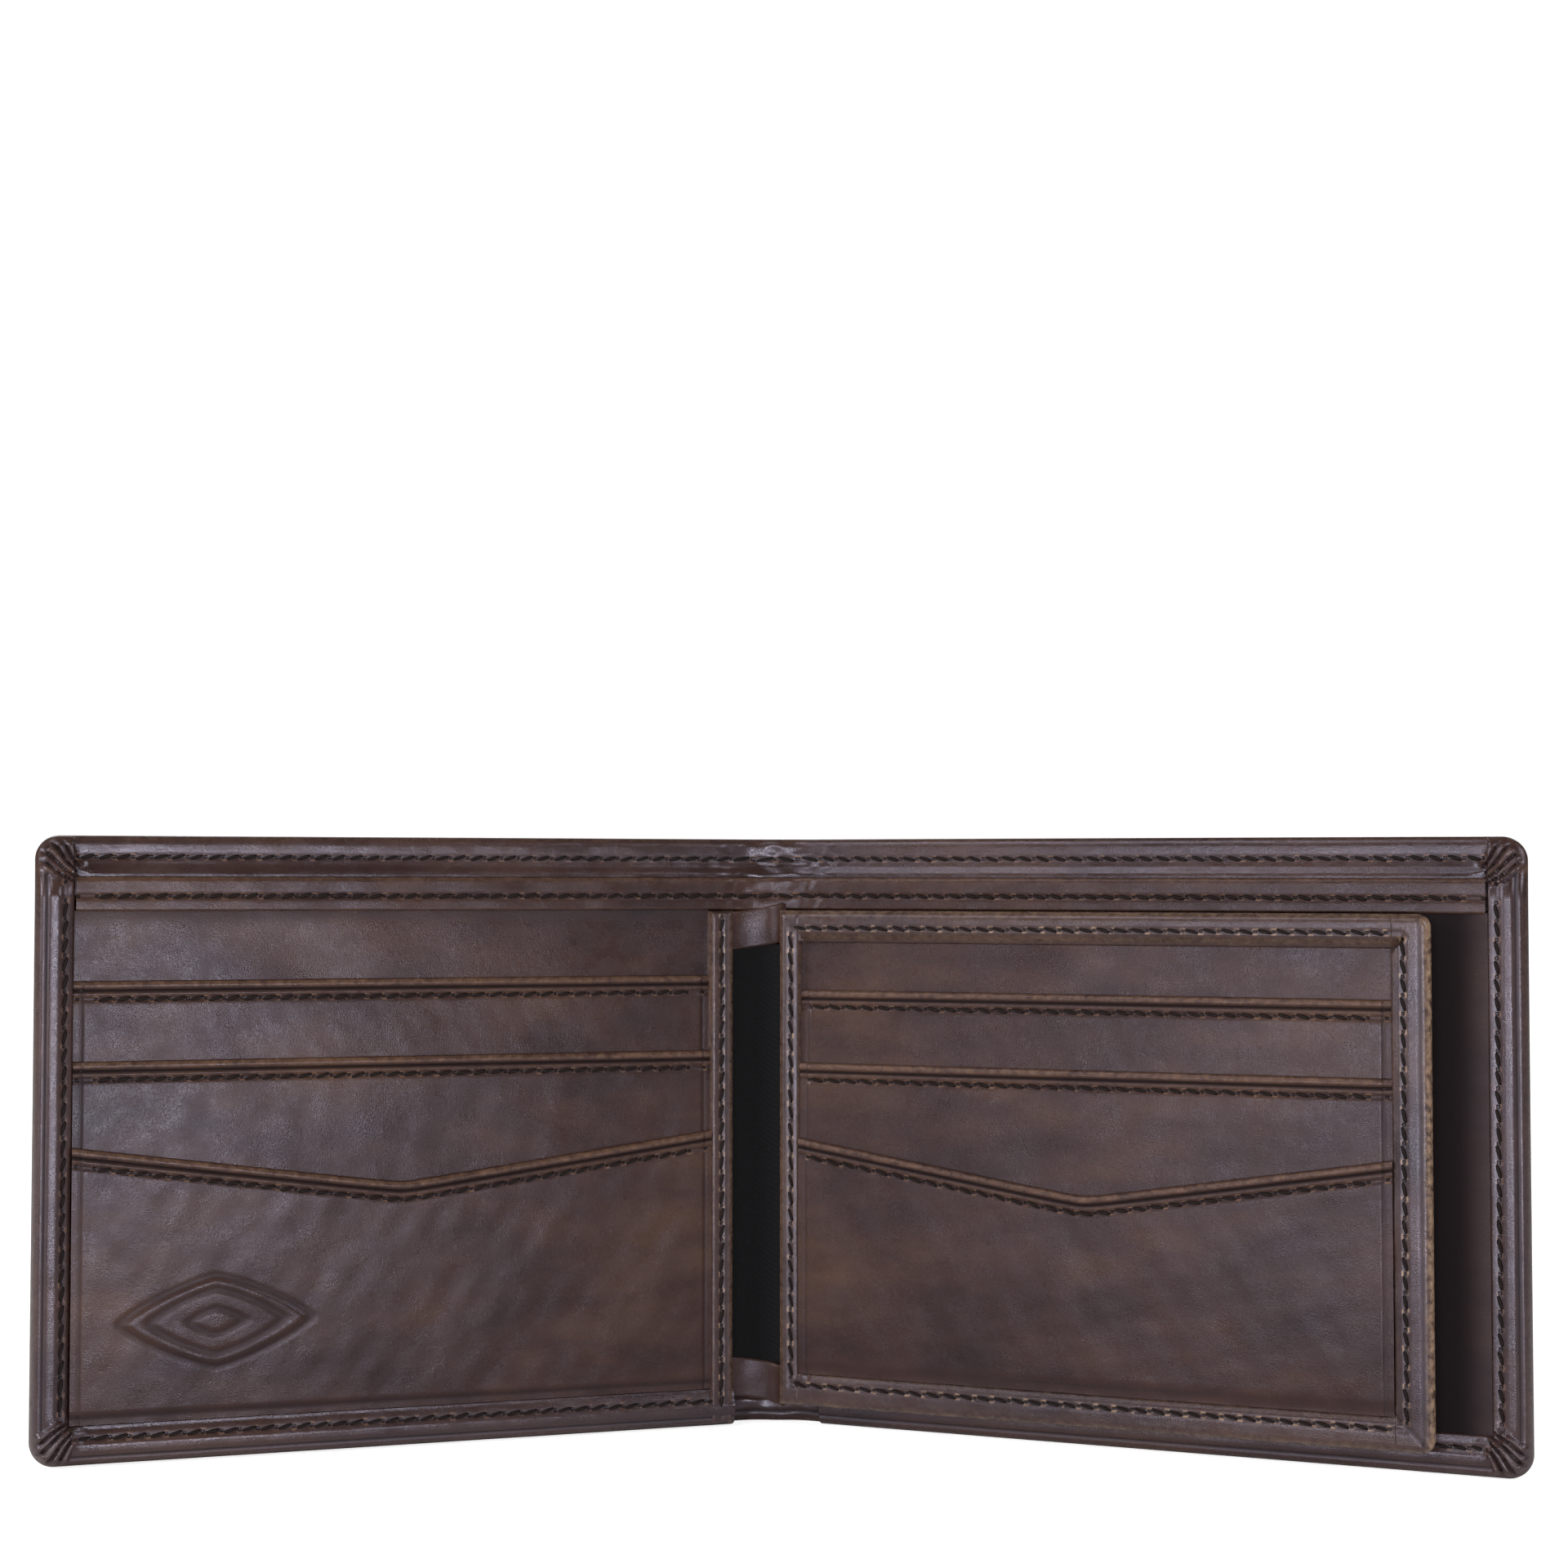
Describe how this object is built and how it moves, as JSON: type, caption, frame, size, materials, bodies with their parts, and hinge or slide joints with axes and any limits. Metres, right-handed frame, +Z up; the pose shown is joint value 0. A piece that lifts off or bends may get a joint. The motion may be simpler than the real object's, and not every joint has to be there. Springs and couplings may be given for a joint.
{
  "type": "bifold wallet",
  "caption": "Leather bifold wallet standing open on its lower edge, with card pockets on the left half, a turning centre flap with pockets, and a full-length bill compartment.",
  "frame": {"origin": "middle of the footprint's bounding box, on the surface that the wallet stands on", "axes": "+X along the open wallet from the left half to the flap's half, +Y from the pockets to the spine's back, +Z up"},
  "size_m": [0.2138, 0.0396, 0.09],
  "materials": {
    "cover_leather": "satin, waxed, dark chocolate brown",
    "inner_leather": "satin, waxed, mottled brown",
    "edge_leather": "satin, rubbed paler along folds",
    "lining_fabric": "fine black twill",
    "thread": "waxed dark brown thread"
  },
  "bodies": {
    "spine": {"flap_hinge_fabric": "lining_fabric", "flap_hinge_tab_bottom": "inner_leather", "flap_hinge_tab_top": "inner_leather", "spine_bottom_hem": "cover_leather", "spine_cover": "cover_leather", "spine_front_lining": "lining_fabric", "spine_rear_lining": "lining_fabric", "spine_top_hem": "cover_leather", "spine_top_hem_thread": "thread", "spine_top_strip": "inner_leather", "spine_top_strip_thread": "thread"},
    "left_half": {"left_bottom_hem": "cover_leather", "left_cover": "cover_leather", "left_edge_band": "edge_leather", "left_edge_band_thread": "thread", "left_front_lining": "lining_fabric", "left_inner_panel": "inner_leather", "left_outer_thread": "thread", "left_pocket_lower": "inner_leather", "left_pocket_lower_thread": "thread", "left_pocket_middle": "inner_leather", "left_pocket_middle_thread": "thread", "left_pocket_upper": "inner_leather", "left_pocket_upper_thread": "thread", "left_rear_lining": "lining_fabric", "left_side_hem": "cover_leather", "left_top_hem": "cover_leather", "left_top_hem_thread": "thread", "left_top_strip": "inner_leather", "left_top_strip_thread": "thread"},
    "right_half": {"right_bottom_hem": "cover_leather", "right_cover": "cover_leather", "right_front_lining": "lining_fabric", "right_inner_panel": "inner_leather", "right_outer_thread": "thread", "right_rear_lining": "lining_fabric", "right_side_hem": "cover_leather", "right_top_hem": "cover_leather", "right_top_hem_thread": "thread", "right_top_strip": "inner_leather", "right_top_strip_thread": "thread"},
    "flap": {"flap_back": "inner_leather", "flap_base": "inner_leather", "flap_binding_bottom": "edge_leather", "flap_binding_outer": "edge_leather", "flap_binding_spine": "edge_leather", "flap_binding_thread": "thread", "flap_binding_top": "edge_leather", "flap_pocket_lower": "inner_leather", "flap_pocket_lower_thread": "thread", "flap_pocket_middle": "inner_leather", "flap_pocket_middle_thread": "thread", "flap_pocket_upper": "inner_leather", "flap_pocket_upper_thread": "thread"}
  },
  "joints": [
    {"name": "left_fold", "type": "hinge", "parent": "spine", "child": "left_half", "pos_m": [-0.003, 0.01232, 0.045], "axis": [0, 0, 1], "range_deg": [-18.5, 71.5]},
    {"name": "right_fold", "type": "hinge", "parent": "spine", "child": "right_half", "pos_m": [0.003, 0.01232, 0.045], "axis": [0, 0, -1], "range_deg": [-18.5, 71.5]},
    {"name": "flap_turn", "type": "hinge", "parent": "right_half", "child": "flap", "pos_m": [0.00109, 0.01418, 0.041], "axis": [0, 0, -1], "range_deg": [0, 3]}
  ]
}
